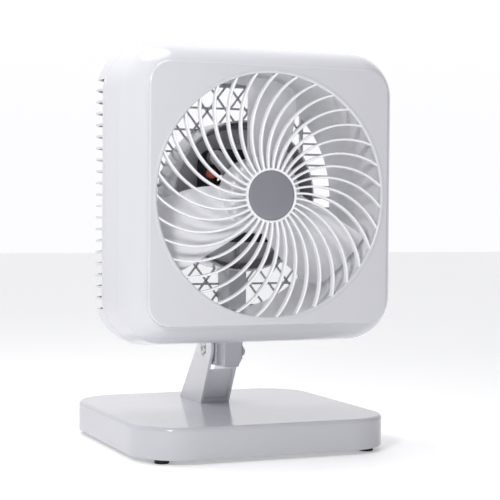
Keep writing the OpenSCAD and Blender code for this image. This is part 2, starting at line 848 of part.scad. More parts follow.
// ---- impeller ------------------------------------------------------------

blade_t = 2;
blade_rear = 42;                             // depth of the leading edge
blade_front = 15.5;                          // depth of the trailing edge
trail_offset = 18;                           // the trailing edge passes this far beside the axis
tip_round = 14;

function lead_angle(r) = 66 - 20 * pow(max(impeller_r - r, 0) / 70, 1.2);
function trail_angle(r) = 90 + asin(trail_offset / r);
function tip_radius(v) = impeller_r - tip_round * (1 - sqrt(1 - pow(min(max(1 - v / 0.16, 0), 1), 2)))
    - 4 * (1 - sqrt(1 - pow(min(max((v - 0.94) / 0.06, 0), 1), 2)));

// v runs from the leading edge at 0 to the trailing edge at 1
function blade_point(u, v, up) = let (
        root = hub_r - 1.4,
        r = root + (tip_radius(v) - root) * u,
        a = lead_angle(r) + (trail_angle(r) - lead_angle(r)) * v,
        swell = 3.2 * sin(180 * v),
        edge = 0.35 + 0.65 * sin(180 * v),
        z = blade_rear + (blade_front - blade_rear) * v + swell + up * blade_t / 2 * edge
    ) [r * cos(a), r * sin(a), z];

module blade() {
    nu = 9;
    nv = 12;
    half = (nu + 1) * (nv + 1);
    function id(i, j, side) = side * half + i * (nv + 1) + j;
    points = [for (side = [0, 1], i = [0:nu], j = [0:nv]) blade_point(i / nu, j / nv, side == 0 ? -1 : 1)];
    front = [for (i = [0:nu - 1], j = [0:nv - 1], h = [0, 1]) h == 0
        ? [id(i, j, 0), id(i + 1, j, 0), id(i + 1, j + 1, 0)]
        : [id(i, j, 0), id(i + 1, j + 1, 0), id(i, j + 1, 0)]];
    rear = [for (i = [0:nu - 1], j = [0:nv - 1], h = [0, 1]) h == 0
        ? [id(i, j, 1), id(i + 1, j + 1, 1), id(i + 1, j, 1)]
        : [id(i, j, 1), id(i, j + 1, 1), id(i + 1, j + 1, 1)]];
    ends = [for (j = [0:nv - 1]) each [
        [id(0, j, 0), id(0, j + 1, 0), id(0, j + 1, 1)], [id(0, j, 0), id(0, j + 1, 1), id(0, j, 1)],
        [id(nu, j, 0), id(nu, j + 1, 1), id(nu, j + 1, 0)], [id(nu, j, 0), id(nu, j, 1), id(nu, j + 1, 1)]
    ]];
    sides = [for (i = [0:nu - 1]) each [
        [id(i, 0, 0), id(i + 1, 0, 1), id(i + 1, 0, 0)], [id(i, 0, 0), id(i, 0, 1), id(i + 1, 0, 1)],
        [id(i, nv, 0), id(i + 1, nv, 0), id(i + 1, nv, 1)], [id(i, nv, 0), id(i + 1, nv, 1), id(i, nv, 1)]
    ]];
    polyhedron(points, concat(front, rear, ends, sides));
}

hub_wall = 2.2;
hub_round = 4;

module impeller() {
    color(white) on_head() difference() {
        union() {
            rotate_extrude() polygon(concat(
                [[0, hub_front]],
                [for (a = [0:15:90]) [hub_r, hub_front] + hub_round * [sin(a) - 1, 1 - cos(a)]],
                [[hub_r, hub_rear], [hub_r - hub_wall, hub_rear], [hub_r - hub_wall, hub_front + hub_wall + 2],
                    [hub_r - hub_wall - 2, hub_front + hub_wall], [0, hub_front + hub_wall]]
            ));
            rod(7, hub_front + 1, 36);
            for (turn = [0:60:300]) rotate([0, 0, turn]) translate([5, -0.8, hub_front + 1])
                cube([hub_r - 6.5, 1.6, 12]);
            for (k = [0:blade_count - 1]) rotate([0, 0, 360 / blade_count * k]) blade();
        }
        rod(shaft_r, 0, 60);
    }
}

module impeller_nut() {
    color("gainsboro") on_head() difference() {
        rod(7.4, 9.6, hub_front);
        for (turn = [0:45:315]) rotate([0, 0, turn]) translate([8.3, 0, 0]) rod(1.7, 9, 15);
        rod(shaft_r, shaft_front, hub_front + 1);
    }
}

// ---- drawing -------------------------------------------------------------

base_cover();
base_plate();
base_screws();
rubber_feet();
cord_gland();
stand_arm();
arm_screws();
pivot_bolt();
pivot_nut();
pivot_washers();
friction_discs();
front_shell();
front_grille();
grille_screws();
hub_badge();
air_duct();
rear_cover();
housing_screws();
neck_block();
neck_screws();
switch_body();
switch_terminals();
motor_leads();
motor_plate();
plate_screws();
front_bracket();
front_bearing();
rear_bearing();
stator_core();
coil_bobbins();
stator_coils();
shading_rings();
thermal_fuse();
motor_screws();
motor_spacers();
motor_shaft();
rotor_core();
rotor_rings();
thrust_washers();
impeller();
impeller_nut();
rocker();
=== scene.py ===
import math

import bmesh
import bpy
from mathutils import Matrix, Vector


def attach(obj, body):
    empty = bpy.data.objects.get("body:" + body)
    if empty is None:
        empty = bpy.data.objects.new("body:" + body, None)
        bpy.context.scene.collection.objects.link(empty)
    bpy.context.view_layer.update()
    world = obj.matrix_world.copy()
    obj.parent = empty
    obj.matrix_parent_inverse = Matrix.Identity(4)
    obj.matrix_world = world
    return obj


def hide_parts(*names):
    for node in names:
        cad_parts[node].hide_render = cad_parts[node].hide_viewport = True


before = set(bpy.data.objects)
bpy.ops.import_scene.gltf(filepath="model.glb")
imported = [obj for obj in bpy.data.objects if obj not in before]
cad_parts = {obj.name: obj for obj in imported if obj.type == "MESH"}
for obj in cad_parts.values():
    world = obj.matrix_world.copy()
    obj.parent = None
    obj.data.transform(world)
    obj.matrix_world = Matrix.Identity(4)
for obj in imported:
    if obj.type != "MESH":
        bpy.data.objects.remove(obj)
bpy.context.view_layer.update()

MM = 0.001
TAU = 2 * math.pi

# ---- sizes of the CAD model that the pieces follow, in millimetres -------------------------------

BASE_W, BASE_CORNER, BASE_H, BASE_EDGE, BASE_WALL, FOOT_H = 241, 47, 27.8, 3.6, 2.4, 4.5
TOP_Z = FOOT_H + BASE_H
FOOT_AT, FOOT_D, PLATE_Z = 98, 13, FOOT_H + 0.8
ARM_HALF, CHEEK = 14.8, 3
GAP_HALF = ARM_HALF - CHEEK
PIVOT = (22.6, 85.1)
ARM_FRONT, ARM_REAR, ARM_LEAN = 29.2, 87.4, math.atan2(21.8, 39.1)
ARM_TOP = (17.7, 88, 16.3)
HEAD_Z, FACE_Y = 230.3, 106
CX, CY = 89.7, 90.7
FRONT_R, FRONT_IN, FRONT_DEEP = 40.3, 33.5, 39.7
SIDE_END, REAR_R, REAR_IN, REAR_DEEP, HEAD_DEPTH = 82, 45.0, 25, 28, 110
WALL, PART_LINE = 2.3, 67
PANEL_HALF, PANEL_CORNER, PANEL_T, PANEL_SKIRT = 113.5, 20, 2.4, 4
OPENING_R, HUB_RING_R = 108, 24.2
RIBS, RIB_ARC, RIB_PHASE, RIB_W, RIB_END = 35, 72, 4.7, 1.9, 6.3
PITCH, BAR_T, WINDOW_FRONT, WINDOW_HALF, STRUT_X, MOTOR_R = 10.3, 2, 70.5, 103, 76, 67
SCREW_AT = (104, 105)
IMP_R, HUB_R, HUB_FRONT, HUB_REAR = 104, 34, 14, 44
BOX_HALF, BOX_FRONT, BOX_REAR, BOX_BOTTOM = 8.5, -17.9, -2.6, 71.1
KNUCKLE_R, KNUCKLE_HALF, NECK_TOP = 14, 11, 119.5
BOLT_HOLE_R, DISH_R, BOLT_HEAD_R = 2.55, 7.2, 5.4
BASE_POST_AT, BASE_POST_R, GLAND_HOLE_R, GLAND_UP = 70, 4.5, 5.05, 13
SHROUD_IN, SHROUD_OUT, SHROUD_FRONT = 67, 69, 62
COVER_HALF, COVER_FRONT, COVER_TOP, COVER_BOTTOM = 8.5, 78.5, -68.2, -104.8
POST_RING_R, SLOT_RING_IN, SLOT_RING_OUT, SLOT_HALF = 52, 33.6, 52.4, 1.6
ROCKER_PIN = (6, 87)
COIL_MID = 66
CORNERS = [(-1, -1), (-1, 1), (1, -1), (1, 1)]


# ---- mesh helpers --------------------------------------------------------------------------------

def on_head(p):
    """Head coordinates (right, up, depth behind the panel) to the row frame."""
    return (p[0], p[2] - FACE_Y, HEAD_Z + p[1])


class Build:
    """Closed shells collected in millimetres."""

    def __init__(self):
        self.v, self.f = [], []

    def add(self, verts, faces, place=None):
        k = len(self.v)
        self.v += [tuple(place(p)) if place else tuple(p) for p in verts]
        self.f += [tuple(i + k for i in face) for face in faces]
        return self

    def loft(self, rings, around=True, along=False, caps=False, place=None):
        """Quads between rings of equal length."""
        n, m = len(rings[0]), len(rings)
        faces = []
        for i in range(m if along else m - 1):
            a, b = i * n, (i + 1) % m * n
            for j in range(n if around else n - 1):
                k = (j + 1) % n
                faces.append((a + j, a + k, b + k, b + j))
        if caps:
            faces.append(tuple(range(n))[::-1])
            faces.append(tuple((m - 1) * n + i for i in range(n)))
        return self.add([p for ring in rings for p in ring], faces, place)

    def lathe(self, profile, steps=96, at=(0, 0), place=on_head):
        """A closed profile of (radius, height) turned about the axis through at. Points on the axis are merged."""
        rings = []
        for s in range(steps):
            a = TAU * s / steps
            rings.append([(at[0] + r * math.cos(a), at[1] + r * math.sin(a), z) for r, z in profile])
        return self.loft(rings, around=True, along=True, place=place)

    def merge(self, other, place=None):
        return self.add(other.v, other.f, place)


def finish_mesh(name, build, smooth):
    """Turns collected shells into an object in metres; edges over smooth degrees stay sharp."""
    mesh = bpy.data.meshes.new(name)
    mesh.from_pydata([(x * MM, y * MM, z * MM) for x, y, z in build.v], [], build.f)
    work = bmesh.new()
    work.from_mesh(mesh)
    bmesh.ops.remove_doubles(work, verts=work.verts, dist=1e-7)
    bmesh.ops.dissolve_degenerate(work, edges=work.edges, dist=1e-7)
    bmesh.ops.recalc_face_normals(work, faces=work.faces)
    work.to_mesh(mesh)
    work.free()
    mesh.shade_smooth()
    mesh.set_sharp_from_angle(angle=math.radians(smooth))
    obj = bpy.data.objects.new(name, mesh)
    bpy.context.scene.collection.objects.link(obj)
    return obj


def applied(obj, smooth=None):
    """Applies the object's modifiers to its mesh."""
    graph = bpy.context.evaluated_depsgraph_get()
    mesh = bpy.data.meshes.new_from_object(obj.evaluated_get(graph))
    obj.modifiers.clear()
    old, obj.data = obj.data, mesh
    mesh.name = old.name
    bpy.data.meshes.remove(old)
    if smooth is not None:
        mesh.shade_smooth()
        mesh.set_sharp_from_angle(angle=math.radians(smooth))
    return obj


def carve(obj, cutter_build, smooth=30):
    """Cuts the closed shells of cutter_build out of obj."""
    cutter = finish_mesh("cutter", cutter_build, 30)
    mod = obj.modifiers.new("cut", "BOOLEAN")
    mod.operation, mod.solver, mod.object, mod.use_self = "DIFFERENCE", "EXACT", cutter, True
    applied(obj, smooth)
    bpy.data.objects.remove(cutter)
    return obj


def soften(obj, width, segments=2, limit=40, smooth=50):
    """Rounds the edges that are sharper than limit."""
    mod = obj.modifiers.new("round", "BEVEL")
    mod.width, mod.segments, mod.limit_method = width * MM, segments, "ANGLE"
    mod.angle_limit = math.radians(limit)
    mod.use_clamp_overlap = True
    return applied(obj, smooth)


def arc(cx, cy, r, start, end, steps):
    """Points on a circle, from start to end in degrees."""
    return [(cx + r * math.cos(math.radians(start + (end - start) * k / steps)),
             cy + r * math.sin(math.radians(start + (end - start) * k / steps))) for k in range(steps + 1)]


def slab(outlines, low, high, edge, place):
    """A flat plate with rounded edges and holes: outlines in a plane, thickness from low to high."""
    curve = bpy.data.curves.new("slab", "CURVE")
    curve.dimensions, curve.fill_mode = "2D", "BOTH"
    curve.extrude = (high - low) / 2 - edge
    curve.bevel_depth, curve.bevel_resolution, curve.offset = edge, 1, -edge
    for points in outlines:
        spline = curve.splines.new("POLY")
        spline.points.add(len(points) - 1)
        for k, (x, y) in enumerate(points):
            spline.points[k].co = (x, y, 0, 1)
        spline.use_cyclic_u = True
    obj = bpy.data.objects.new("slab", curve)
    bpy.context.scene.collection.objects.link(obj)
    graph = bpy.context.evaluated_depsgraph_get()
    mesh = bpy.data.meshes.new_from_object(obj.evaluated_get(graph))
    mid = (high + low) / 2
    build = Build().add([place((v.co.x, v.co.y, v.co.z + mid)) for v in mesh.vertices],
                        [tuple(p.vertices) for p in mesh.polygons])
    bpy.data.objects.remove(obj)
    bpy.data.curves.remove(curve)
    bpy.data.meshes.remove(mesh)
    return build


def bar(start, end, w, low, high, edge=0.35, up=(0, 0, 1)):
    """A straight bar with chamfered edges, w to each side; low and high are its reach along up."""
    a, b, up = Vector(start), Vector(end), Vector(up)
    way = (b - a).normalized()
    side = way.cross(up).normalized()
    section = [(-w, low + edge), (-w + edge, low), (w - edge, low), (w, low + edge),
               (w, high - edge), (w - edge, high), (-w + edge, high), (-w, high - edge)]
    rings = []
    for p in (a, b):
        rings.append([tuple(p + side * s + up * t) for s, t in section])
    return rings


def rr_loop(hx, hy, r, z, nc=14, ns=24):
    """A rounded rectangle: corner centres at hx, hy."""
    points = []
    for k, (sx, sy) in enumerate(((1, 1), (-1, 1), (-1, -1), (1, -1))):
        for i in range(nc + 1):
            a = math.radians(90 * k + 90 * i / nc)
            points.append((sx * hx + r * math.cos(a), sy * hy + r * math.sin(a), z))
        last = points[-1]
        nx, ny = ((-1, 1), (-1, -1), (1, -1), (1, 1))[k]
        turn = math.radians(90 * (k + 1))
        target = (nx * hx + r * math.cos(turn), ny * hy + r * math.sin(turn))
        for i in range(1, ns):
            t = i / ns
            points.append((last[0] + (target[0] - last[0]) * t, last[1] + (target[1] - last[1]) * t, z))
    return points


def round_loop(r, z, like):
    """A circle whose points lie at the angles of another loop."""
    out = []
    for p in like:
        a = math.atan2(p[1], p[0])
        out.append((r * math.cos(a), r * math.sin(a), z))
    return out


# ---- materials -----------------------------------------------------------------------------------

BROAD_SCALE, CLOUD_SCALE = 9, 70
COAT_ROUGH = 0.12
RELIEF_DEEP, GROOVE_DEEP = 0.00005, 0.0004      # metres
WORN_FROM, WORN_TO = 0.52, 0.62                 # pointiness


def links(mat):
    return mat.node_tree.nodes, mat.node_tree.links


def noise_node(mat, coord, scale, detail, seed):
    nodes, link = links(mat)
    tex = nodes.new("ShaderNodeTexNoise")
    tex.noise_dimensions = "4D"
    tex.inputs["W"].default_value = seed
    tex.inputs["Scale"].default_value = scale
    tex.inputs["Detail"].default_value = detail
    link.new(coord.outputs["Object"], tex.inputs["Vector"])
    return tex


def ranged(mat, source, low, high, start=0.3, stop=0.7):
    nodes, link = links(mat)
    node = nodes.new("ShaderNodeMapRange")
    node.inputs["From Min"].default_value, node.inputs["From Max"].default_value = start, stop
    node.inputs["To Min"].default_value, node.inputs["To Max"].default_value = low, high
    link.new(source, node.inputs["Value"])
    return node.outputs["Result"]


def surface(name, color, rough, metallic=0.0, coat=0.0, vary=0.03, grain=900, bump=0.08, spread=0.06, seed=1.0,
            wear=0.0, specular=0.5, stripes=None):
    """Colour, roughness and fine relief from procedural noise.

    wear lightens the edges, and stripes is (kind, axis, scale, depth, offset) of fine grooves.
    """
    mat = bpy.data.materials.new(name)
    mat.use_nodes = True
    nodes, link = links(mat)
    shader = nodes["Principled BSDF"]
    shader.inputs["Metallic"].default_value = metallic
    shader.inputs["Coat Weight"].default_value = coat
    shader.inputs["Coat Roughness"].default_value = COAT_ROUGH
    shader.inputs["Specular IOR Level"].default_value = specular
    coord = nodes.new("ShaderNodeTexCoord")
    broad = noise_node(mat, coord, BROAD_SCALE, 3, seed)
    cloud = noise_node(mat, coord, CLOUD_SCALE, 4, seed + 1)
    fine = noise_node(mat, coord, grain, 2, seed + 2)
    mix = nodes.new("ShaderNodeMix")
    mix.data_type = "RGBA"
    mix.inputs["A"].default_value = tuple(max(c * (1 - vary), 0) for c in color) + (1,)
    mix.inputs["B"].default_value = tuple(min(c * (1 + vary), 1) for c in color) + (1,)
    link.new(ranged(mat, broad.outputs["Fac"], 0, 1), mix.inputs["Factor"])
    shade = mix.outputs["Result"]
    if wear:
        geo = nodes.new("ShaderNodeNewGeometry")
        edge = nodes.new("ShaderNodeMix")
        edge.data_type = "RGBA"
        edge.inputs["B"].default_value = tuple(min(c * (1 + wear) + wear * 0.15, 1) for c in color) + (1,)
        link.new(shade, edge.inputs["A"])
        link.new(ranged(mat, geo.outputs["Pointiness"], 0, 1, WORN_FROM, WORN_TO), edge.inputs["Factor"])
        shade = edge.outputs["Result"]
    link.new(shade, shader.inputs["Base Color"])
    link.new(ranged(mat, cloud.outputs["Fac"], rough - spread, rough + spread), shader.inputs["Roughness"])
    relief = nodes.new("ShaderNodeBump")
    relief.inputs["Strength"].default_value = bump
    relief.inputs["Distance"].default_value = RELIEF_DEEP
    link.new(fine.outputs["Fac"], relief.inputs["Height"])
    if stripes:
        wave = nodes.new("ShaderNodeTexWave")
        kind, axis, scale, depth, offset = stripes
        wave.wave_type = kind
        if kind == "RINGS":
            wave.rings_direction = axis
        else:
            wave.bands_direction = axis
        wave.inputs["Scale"].default_value = scale
        wave.inputs["Distortion"].default_value = 0.4
        shift = nodes.new("ShaderNodeVectorMath")
        shift.operation = "SUBTRACT"
        shift.inputs[1].default_value = offset
        link.new(coord.outputs["Object"], shift.inputs[0])
        link.new(shift.outputs["Vector"], wave.inputs["Vector"])
        lines = nodes.new("ShaderNodeBump")
        lines.inputs["Strength"].default_value = depth
        lines.inputs["Distance"].default_value = GROOVE_DEEP
        link.new(wave.outputs["Fac"], lines.inputs["Height"])
        link.new(relief.outputs["Normal"], lines.inputs["Normal"])
        relief = lines
    link.new(relief.outputs["Normal"], shader.inputs["Normal"])
    return mat


HUB_CENTRE = (0, 0, HEAD_Z * MM)
PLASTIC = dict(vary=0.003, spread=0.02)
GLOSSY = dict(PLASTIC, grain=600)
# the second white is painted light: a lit copy of the body white, used for the ribs and the arm
BODY_WHITE, PAINTED_LIGHT_WHITE, INNER_WHITE = (0.645, 0.645, 0.685), (0.90, 0.90, 0.93), (0.80, 0.80, 0.83)
M = {
    "shell": surface("white_abs", BODY_WHITE, 0.16, specular=0.4, bump=0.012, seed=1, **GLOSSY),
    "grille": surface("white_grille_abs", BODY_WHITE, 0.24, coat=0.15, bump=0.02, seed=4, **GLOSSY),
    # painted light: the ribs are the panel's own white moulding, given the brighter white to stand in for the
    # light they catch
    "rib": surface("white_rib_abs_painted_light", PAINTED_LIGHT_WHITE, 0.22, coat=0.15, bump=0.02, seed=5, **GLOSSY),
    # painted light: the arm is the same white moulding as the housing, given the brighter white to stand in for
    # light on it
    "arm": surface("white_arm_abs_painted_light", PAINTED_LIGHT_WHITE, 0.18, coat=0.15, bump=0.012, seed=2, **GLOSSY),
    # painted shade: the base is the same white plastic as the housing, given a darker white to stand in for the
    # shade on its front
    "base": surface("white_base_abs_painted_shade", (0.53, 0.53, 0.57), 0.13, specular=0.4, bump=0.01, seed=3, **GLOSSY),
    "inner": surface("white_duct_abs", INNER_WHITE, 0.36, bump=0.06, seed=7, **PLASTIC),
    "impeller": surface("white_impeller_pp", INNER_WHITE, 0.33, coat=0.1, bump=0.05, seed=10, **PLASTIC),
    "badge": surface("grey_badge", (0.24, 0.24, 0.275), 0.34, coat=0.2, vary=0.03, bump=0.06, seed=13),
    "plate": surface("grey_base_plate", (0.62, 0.62, 0.64), 0.55, vary=0.03, grain=1500, bump=0.3, seed=16),
    "rubber": surface("foot_rubber_black", (0.012, 0.012, 0.013), 0.7, vary=0.2, bump=0.3, seed=19),
    "zinc": surface("zinc_steel", (0.62, 0.62, 0.6), 0.32, metallic=1, vary=0.08, bump=0.2, seed=22, wear=0.1),
    "ground": surface("ground_shaft", (0.66, 0.66, 0.67), 0.22, metallic=1, vary=0.05, bump=0.15, seed=25),
    "fibre": surface("friction_fibre_disc", (0.3, 0.2, 0.12), 0.8, vary=0.15, bump=0.5, seed=28),
    "black": surface("black_nylon", (0.018, 0.018, 0.02), 0.45, vary=0.1, bump=0.15, seed=31),
    "brass": surface("brass_tab_metal", (0.75, 0.52, 0.22), 0.3, metallic=1, vary=0.08, bump=0.15, seed=34),
    "lead": surface("grey_lead_insulation", (0.62, 0.62, 0.64), 0.42, vary=0.06, bump=0.1, seed=37),
    "alloy": surface("cast_alloy_metal", (0.55, 0.55, 0.56), 0.45, metallic=1, vary=0.07, bump=0.45, seed=43),
    "bronze": surface("sintered_bronze", (0.5, 0.3, 0.14), 0.5, metallic=1, vary=0.1, bump=0.4, seed=46),
    "sheets": surface("lamination_sheets", (0.025, 0.025, 0.027), 0.42, metallic=0.5, vary=0.15, bump=0.2, seed=49,
                      stripes=("BANDS", "Y", 320, 0.6, (0, 0, 0))),
    "copper": surface("copper_winding", (0.62, 0.13, 0.055), 0.3, metallic=0.6, vary=0.12, bump=0.1, seed=52,
                      stripes=("RINGS", "Y", 260, 0.9, HUB_CENTRE)),
    "ring": surface("bare_copper_ring", (0.75, 0.36, 0.2), 0.35, metallic=1, vary=0.1, bump=0.2, seed=55),
    "resin": surface("red_dipped_resin", (0.33, 0.055, 0.03), 0.3, coat=0.3, vary=0.1, bump=0.15, seed=58),
    "galvanised": surface("galvanised_steel", (0.72, 0.72, 0.76), 0.45, metallic=0.15, vary=0.08, bump=0.2,
                          seed=40, spread=0.1),
    "nylon": surface("natural_nylon", (0.72, 0.69, 0.6), 0.45, vary=0.04, bump=0.1, seed=61),
}


def dress(obj, mat):
    obj.data.materials.clear()
    obj.data.materials.append(mat)
    return obj


def piece(name, build, mat, body, replaces=(), smooth=35):
    """Makes one visible piece, gives it its looks and sets it on its body."""
    obj = build if isinstance(build, bpy.types.Object) else finish_mesh(name, build, smooth)
    mod = obj.modifiers.new("flats", "WEIGHTED_NORMAL")
    mod.keep_sharp, mod.weight = True, 100
    applied(obj)
    obj.name = name
    obj.data.name = name
    dress(obj, M[mat])
    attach(obj, body)
    if replaces:
        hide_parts(*replaces)
    return obj


# ---- base ----------------------------------------------------------------------------------------

def base_cover():
    at = BASE_W / 2 - BASE_CORNER
    outer = [(BASE_CORNER - 0.5, 0), (BASE_CORNER, 0.5)]
    outer += [(x, z) for x, z in arc(BASE_CORNER - BASE_EDGE, BASE_H - BASE_EDGE, BASE_EDGE, 0, 90, 10)]
    within, ceiling = BASE_CORNER - BASE_WALL, BASE_H - BASE_WALL
    inner = [(within - 1.2, ceiling), (within, ceiling - 1.2), (within, 0.3), (within + 0.3, 0)]
    rings = [rr_loop(at, at, r, FOOT_H + z) for r, z in inner + outer]
    build = Build().loft(rings, caps=True)
    post_low, post_high = PLATE_Z + 2.2, TOP_Z - 2
    post = [(0, post_low), (BASE_POST_R, post_low), (BASE_POST_R, post_high), (0, post_high)]
    for sx, sy in CORNERS:
        build.lathe(post, 24, (sx * BASE_POST_AT, sy * BASE_POST_AT), place=None)
    obj = finish_mesh("base_housing", build, 35)
    hole = Build()
    hole.lathe([(0, -2), (GLAND_HOLE_R, -2), (GLAND_HOLE_R, 6), (0, 6)], 32,
               place=lambda p: (p[0], BASE_W / 2 - 4 + p[2], FOOT_H + GLAND_UP + p[1]))
    carve(obj, hole, 35)
    return piece("base_housing", obj, "base", "stand", ["base_cover"])


def feet():
    r, top = FOOT_D / 2, PLATE_Z
    build = Build()
    profile = [(0, 0.35), (r * 0.55, 0.35), (r * 0.6, 0)] + [(x, z) for x, z in arc(r - 0.9, 0.9, 0.9, -90, 0, 5)]
    profile += [(r, top - 0.4), (r - 0.4, top), (3, top), (3, top + 2.2), (3.8, top + 2.2), (3.2, top + 4.2),
                (0, top + 4.2)]
    for sx, sy in CORNERS:
        build.lathe(profile, 48, (sx * FOOT_AT, sy * FOOT_AT), place=None)
    return piece("moulded_feet", build, "rubber", "stand", ["rubber_feet"])


# ---- arm -----------------------------------------------------------------------------------------

def front_line(z, inset):
    """Y of the arm's slanted front at height z, moved back by inset."""
    return ARM_FRONT + inset - math.tan(ARM_LEAN) * (z - TOP_Z)


def across(p):
    """A point drawn in the Y-Z plane with its height along X."""
    return (p[2], p[0], p[1])


def arm():
    cy, cz, r = ARM_TOP
    foot, toe = TOP_Z - 0.3, ARM_FRONT + 4
    outline = [(ARM_FRONT, foot), (ARM_REAR, foot)] + arc(cy, cz, r, 41, 180 + math.degrees(ARM_LEAN), 40)
    dish = arc(*PIVOT, DISH_R, 0, 360, 48)[:-1]
    dish_floor = arc(*PIVOT, DISH_R + 0.3, 0, 360, 48)[:-1]
    hole = arc(*PIVOT, BOLT_HOLE_R, 0, 360, 24)[:-1]
    build = Build()
    for side in (-1, 1):
        low, high = sorted((side * GAP_HALF, side * ARM_HALF))
        build.merge(slab([outline, dish], low, high, 0.55, across))
        low, high = sorted((side * GAP_HALF, side * (ARM_HALF - 1.6)))
        build.merge(slab([dish_floor, hole], low, high, 0.02, across))
    web_low, web_top = TOP_Z + 2, 66
    web = [(front_line(web_low, 3), web_low), (front_line(web_low, 5.6), web_low),
           (front_line(web_top, 5.6), web_top), (front_line(web_top, 3), web_top)]
    lip = [(ARM_FRONT + 0.3, foot), (ARM_FRONT + 12, foot), (front_line(TOP_Z + 4, 12), TOP_Z + 4),
           (front_line(TOP_Z + 4, 0.4), TOP_Z + 4)]
    flange = [(toe, foot), (ARM_REAR - 3.4, foot), (ARM_REAR - 6, TOP_Z + 3), (toe, TOP_Z + 3)]
    for plate in (web, lip, flange):
        build.merge(slab([plate], -GAP_HALF - 0.5, GAP_HALF + 0.5, 0.3, across))
    obj = finish_mesh("tilt_arm", build, 35)
    return piece("tilt_arm", obj, "arm", "stand", ["stand_arm"])


def pivot_bolt():
    inner = ARM_HALF - 1.0
    dome = [(0, -inner - 2.4)]
    dome += [(BOLT_HEAD_R * math.cos(math.radians(a)), -inner - 0.4 - 2 * math.sin(math.radians(a)))
             for a in range(80, -1, -8)]
    dome += [(BOLT_HEAD_R, -inner), (2.5, -inner), (2.5, inner + 4.4), (0, inner + 4.4)]
    build = Build().lathe(dome, 48, place=lambda p: (p[2], PIVOT[0] + p[0], PIVOT[1] + p[1]))
    obj = finish_mesh("pivot_screw", build, 35)
    slot = Build()
    for turn in (0.6, 0.6 + TAU / 4):
        c, s = math.cos(turn), math.sin(turn)
        start = (-inner - 3, PIVOT[0] - 3 * c, PIVOT[1] - 3 * s)
        end = (-inner - 3, PIVOT[0] + 3 * c, PIVOT[1] + 3 * s)
        slot.loft(bar(start, end, 0.45, -1, 1.7, 0.05, (1, 0, 0)), caps=True)
    carve(obj, slot, 30)
    return piece("pivot_screw", obj, "zinc", "stand", ["pivot_bolt"])


# ---- housing -------------------------------------------------------------------------------------

def side_r(depth):
    """Corner radius of the slightly tapered sides at a depth."""
    return FRONT_R + (REAR_R - FRONT_R) * (depth - FRONT_DEEP) / (SIDE_END - FRONT_DEEP)


def front_arc(inset, steps=22):
    """The rounded front in section, as (corner radius, depth), from the flat face to the sides."""
    start = math.asin(15.5 / FRONT_IN)
    out = []
    for k in range(steps + 1):
        a = start + (math.pi / 2 - start) * k / steps
        out.append((FRONT_R - FRONT_IN + (FRONT_IN - inset) * math.sin(a),
                    FRONT_DEEP - (FRONT_DEEP - inset) * math.cos(a)))
    return out


def front_shell():
    edge = PART_LINE - 0.3
    face = front_arc(0)[0][1]
    like = rr_loop(CX, CY, 22, 0)
    section = front_arc(0)
    section += [(side_r(52), 52), (side_r(edge - 0.7), edge - 0.7), (side_r(edge) - 0.15, edge - 0.2),
                (side_r(edge) - 0.5, edge)]
    section += [(side_r(edge) - WALL, edge)] + front_arc(WALL)[::-1]
    rings = [round_loop(OPENING_R + 0.4, face + 0.4, like), round_loop(OPENING_R + 0.8, face, like)]
    rings += [rr_loop(CX, CY, r, d) for r, d in section]
    rings += [round_loop(OPENING_R + 0.4, face + WALL, like)]
    build = Build().loft(rings, along=True, place=on_head)
    post = [(0, face + 1), (4.8, face + 1), (4.8, edge), (2.05, edge), (2.05, 40), (0, 40)]
    for sx, sy in CORNERS:
        build.lathe(post, 32, (sx * SCREW_AT[0], sy * SCREW_AT[1]))
    build.lathe([(110.3, face + 1), (112.2, face + 1), (112.2, face + 10), (110.3, face + 10)], 144)
    return piece("front_housing", build, "shell", "head", ["front_shell"], 32)


def panel():
    at = PANEL_HALF - PANEL_CORNER
    like = rr_loop(at, at, PANEL_CORNER, 0)
    edge = [(x, d) for x, d in arc(PANEL_CORNER - 1.7, 1.7, 1.7, -90, 0, 7)]
    section = edge + [(PANEL_CORNER, PANEL_SKIRT - 0.3), (PANEL_CORNER - 0.3, PANEL_SKIRT),
                      (PANEL_CORNER - 2, PANEL_SKIRT), (PANEL_CORNER - 2, PANEL_T)]
    rings = [round_loop(OPENING_R, PANEL_T, like), round_loop(OPENING_R, 0.3, like),
             round_loop(OPENING_R + 0.3, 0, like)]
    rings += [rr_loop(at, at, r, d) for r, d in section]
    build = Build().loft(rings, along=True, place=on_head)
    lip = [(OPENING_R - 1.5, 5.0), (OPENING_R - 1.5, 1.5)] + arc(OPENING_R + 0.2, 1.2, 1.7, 180, 270, 6)
    lip += [(OPENING_R + 1.1, -0.5)] + arc(OPENING_R + 1.1, 0, 0.5, -90, 0, 3)
    lip += [(OPENING_R + 1.6, 1.2), (OPENING_R + 0.1, 1.4), (OPENING_R + 0.1, 5.0)]
    build.lathe(lip, 176)
    piece("front_panel", build, "grille", "head", ["front_grille"], 38)
    ring = [(HUB_RING_R - 2.3, RIB_END + 0.5), (HUB_RING_R - 2.3, 2.0)]
    ring += arc(HUB_RING_R - 1.15, 2.15, 1.15, 190, 350, 8) + [(HUB_RING_R, RIB_END + 0.5)]
    ribs = Build().lathe(ring, 96)
    ribs.lathe([(0, 3.6), (HUB_RING_R - 1, 3.6), (HUB_RING_R - 1, 5.2), (0, 5.2)], 64)
    for k in range(RIBS):
        ribs.merge(rib(math.radians(RIB_PHASE + 360 / RIBS * k)))
    piece("spiral_ribs", ribs, "rib", "head", ["front_grille"], 38)


